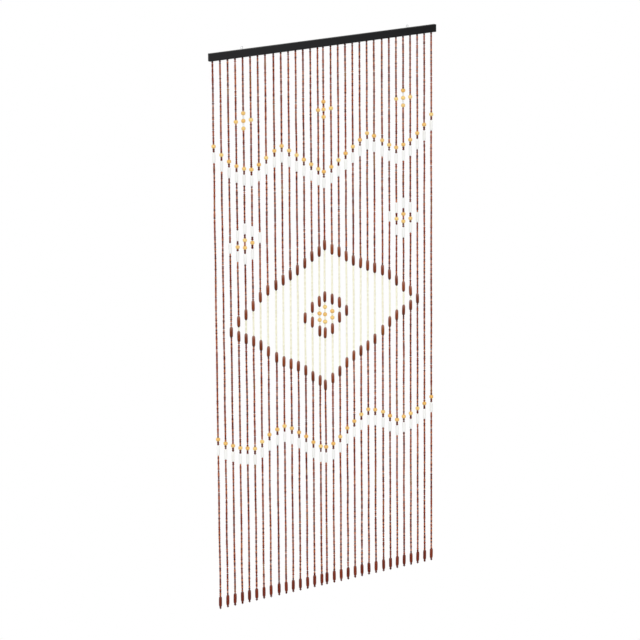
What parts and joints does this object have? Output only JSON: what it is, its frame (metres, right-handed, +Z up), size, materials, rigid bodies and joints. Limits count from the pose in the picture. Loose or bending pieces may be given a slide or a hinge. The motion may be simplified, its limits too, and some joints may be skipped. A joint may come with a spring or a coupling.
{
  "type": "bead curtain on a headrail",
  "caption": "Door curtain of wooden beads threaded on strings under a flat black headrail, with zigzag bands, crosses, rosettes and a diamond, hung by screw eyes.",
  "frame": {"origin": "midway between the middles of the two screw eyes' rings, where nails or hooks hold the curtain", "axes": "+X along the headrail, -Y is the front, +Z up; the strands hang to -Z"},
  "size_m": [0.9, 0.012, 1.8739],
  "materials": {
    "rail_paint": "black satin paint on wood",
    "brown_beads": "stained and lacquered, from red-brown to orange",
    "long_brown_beads": "red-brown stain under lacquer",
    "gold_beads": "yellow-gold lacquer",
    "white_beads": "white lacquer",
    "cream_beads": "cream lacquer",
    "string": "waxed twisted string",
    "eye_steel": "bright zinc"
  },
  "bodies": {
    "root": {"headrail": "rail_paint", "strands": "brown_beads", "eye_left": "eye_steel", "eye_right": "eye_steel"}
  },
  "joints": []
}
